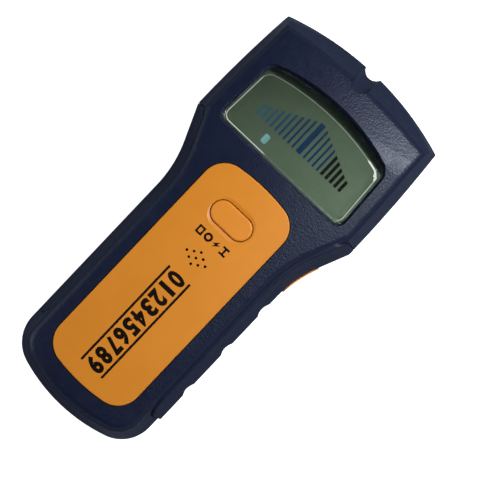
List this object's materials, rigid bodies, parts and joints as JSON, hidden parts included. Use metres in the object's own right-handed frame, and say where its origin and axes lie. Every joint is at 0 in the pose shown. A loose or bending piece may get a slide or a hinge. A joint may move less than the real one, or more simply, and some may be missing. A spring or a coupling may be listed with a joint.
{
  "type": "stud finder",
  "caption": "Hand-held wall scanner with an arched display head, a marking notch at the nose, a slim gripped handle, press buttons and a sliding battery door.",
  "frame": {"origin": "under the middle of the tool, on the plane that the felt pads stand on", "axes": "+Y from the tail to the marking notch, +Z out of the display side, +X to the right seen from the display side"},
  "size_m": [0.0756, 0.1609, 0.0334],
  "materials": {
    "case_navy": "fine moulded grain",
    "grip_navy": "matte, slightly soft to the touch",
    "panel_orange": "satin",
    "button_orange": "satin",
    "lens_clear": "polished clear acrylic",
    "lcd_glass": "smooth grey-green display",
    "reflector_white": "smooth",
    "frame_black": "matte",
    "zebra_rubber": "matte",
    "board_green": "solder mask",
    "copper": "tinned copper",
    "coil_wire": "enamelled copper",
    "ferrite": "matt grey ceramic",
    "chip_black": "matte moulded",
    "can_aluminium": "satin",
    "steel": "zinc plated",
    "plunger_white": "matte",
    "battery_sleeve": "printed sleeve with no lettering",
    "lead_red": "smooth insulation",
    "lead_black": "smooth insulation",
    "foam_grey": "open-cell foam",
    "felt_grey": "pressed felt"
  },
  "bodies": {
    "case": {"front_shell": "case_navy", "rear_shell": "case_navy", "side_grip_left": "grip_navy", "side_grip_right": "grip_navy", "front_panel": "panel_orange", "display_window": "lens_clear", "lcd_cell": "lcd_glass", "lcd_reflector": "reflector_white", "lcd_frame": "frame_black", "zebra_strip": "zebra_rubber", "select_switch_body": "chip_black", "scan_switch_board": "board_green", "scan_switch_body": "chip_black", "main_board": "board_green", "sensor_board": "board_green", "sensor_plates": "copper", "detection_coil": "coil_wire", "coil_core": "ferrite", "header_block": "chip_black", "header_pins": "copper", "controller_chip": "chip_black", "capacitors": "can_aluminium", "crystal": "steel", "buzzer": "chip_black", "buzzer_gasket": "foam_grey", "battery": "battery_sleeve", "battery_terminals": "steel", "battery_connector": "frame_black", "battery_lead_red": "lead_red", "battery_lead_black": "lead_black", "battery_foam_pad": "foam_grey", "case_screws": "steel", "board_screws": "steel", "felt_pads": "felt_grey"},
    "select_button_body": {"select_button": "button_orange"},
    "select_plunger_body": {"select_switch_plunger": "plunger_white"},
    "scan_button_body": {"scan_button": "button_orange"},
    "scan_plunger_body": {"scan_switch_plunger": "plunger_white"},
    "battery_door_body": {"battery_door": "case_navy"}
  },
  "joints": [
    {"name": "select_press", "type": "slide", "parent": "case", "child": "select_button_body", "axis": [0, 0, -1], "range_m": [0, 0.0006], "stiffness_N_per_m": 1500, "springref_m": -0.0004},
    {"name": "select_plunger_press", "type": "slide", "parent": "case", "child": "select_plunger_body", "axis": [0, 0, -1], "range_m": [0, 0.0006]},
    {"name": "scan_press", "type": "slide", "parent": "case", "child": "scan_button_body", "axis": [-1, 0, 0], "range_m": [0, 0.001], "stiffness_N_per_m": 1500, "springref_m": -0.0004},
    {"name": "scan_plunger_press", "type": "slide", "parent": "case", "child": "scan_plunger_body", "axis": [-1, 0, 0], "range_m": [0, 0.001]},
    {"name": "battery_door_slide", "type": "slide", "parent": "case", "child": "battery_door_body", "axis": [0, -1, 0], "range_m": [0, 0.062]}
  ],
  "couplings": [
    {"joint": "select_plunger_press", "follows": "select_press", "ratio": 1},
    {"joint": "scan_plunger_press", "follows": "scan_press", "ratio": 1}
  ]
}
